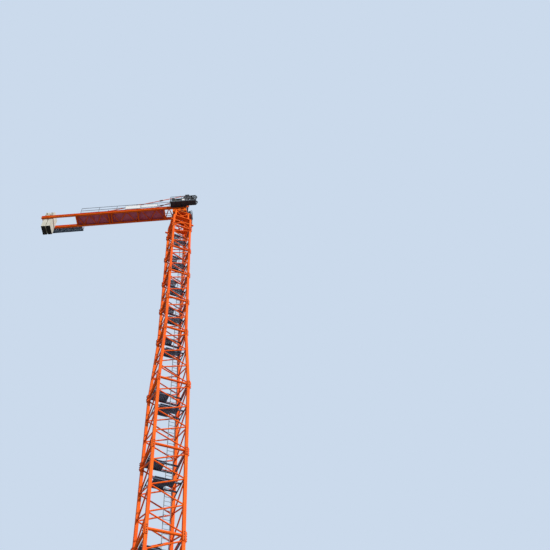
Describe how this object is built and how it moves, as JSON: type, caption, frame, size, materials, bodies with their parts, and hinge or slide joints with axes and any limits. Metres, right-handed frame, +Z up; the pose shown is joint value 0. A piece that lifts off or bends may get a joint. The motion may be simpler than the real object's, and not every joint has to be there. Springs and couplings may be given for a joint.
{
  "type": "half-size model of a tower crane",
  "caption": "Lattice tower crane in mid-erection, with its tapered mast, slewing head, decked counter-jib and concrete counterweight slabs; the jib is not fitted.",
  "frame": {"origin": "on the ground at the mast's axis, on the underside of the base cross's centre plate", "axes": "+Z up the mast; at rest the counter-jib runs along -X and the bare jib side faces +X; the square mast stands turned 26 degrees about +Z"},
  "size_m": [7.4392, 1.7384, 32.457],
  "materials": {
    "orange_paint": "satin",
    "ring_steel": "satin",
    "galvanised": "matte",
    "dark_grating": "matte",
    "dark_steel": "satin",
    "machine_grey": "satin",
    "deck_mesh": "matte",
    "concrete": "rough",
    "sign_white": "satin"
  },
  "bodies": {
    "mast": {"base_cross": "orange_paint", "mast_section_1": "orange_paint", "mast_section_2": "orange_paint", "mast_section_3": "orange_paint", "mast_section_4": "orange_paint", "mast_section_5": "orange_paint", "mast_section_6": "orange_paint", "taper_section": "orange_paint", "upper_section_1": "orange_paint", "upper_section_2": "orange_paint", "upper_section_3": "orange_paint", "upper_section_4": "orange_paint", "slewing_support": "orange_paint", "slewing_ring_gear": "ring_steel", "mast_ladders": "galvanised", "rest_platforms": "dark_grating"},
    "upper_works": {"slewing_ring_race": "ring_steel", "slewing_frame": "orange_paint", "head_frame": "dark_steel", "jib_ear_near": "orange_paint", "jib_ear_far": "orange_paint", "rope_sheaves": "dark_steel", "junction_box": "sign_white", "slewing_drive": "machine_grey", "head_platform": "dark_steel", "head_railing": "galvanised", "switch_cabinets": "machine_grey", "front_landing": "dark_steel", "access_ladder": "dark_steel", "tie_bars": "orange_paint", "counter_jib_inner": "orange_paint", "counter_jib_outer": "orange_paint", "deck_inner": "deck_mesh", "deck_outer": "deck_mesh", "railing_near": "galvanised", "railing_far": "galvanised", "ballast_catwalk": "dark_grating", "catwalk_railing": "dark_grating", "counterweight_1": "concrete", "counterweight_2": "concrete", "slab_hangers": "galvanised", "winch_frame": "machine_grey", "winch_drum": "ring_steel", "winch_motor": "machine_grey", "resistor_box": "dark_steel", "sign_board": "sign_white"}
  },
  "joints": [
    {"name": "slew", "type": "hinge", "parent": "mast", "child": "upper_works", "pos_m": [0, 0, 0], "axis": [0, 0, 1], "continuous": true}
  ]
}
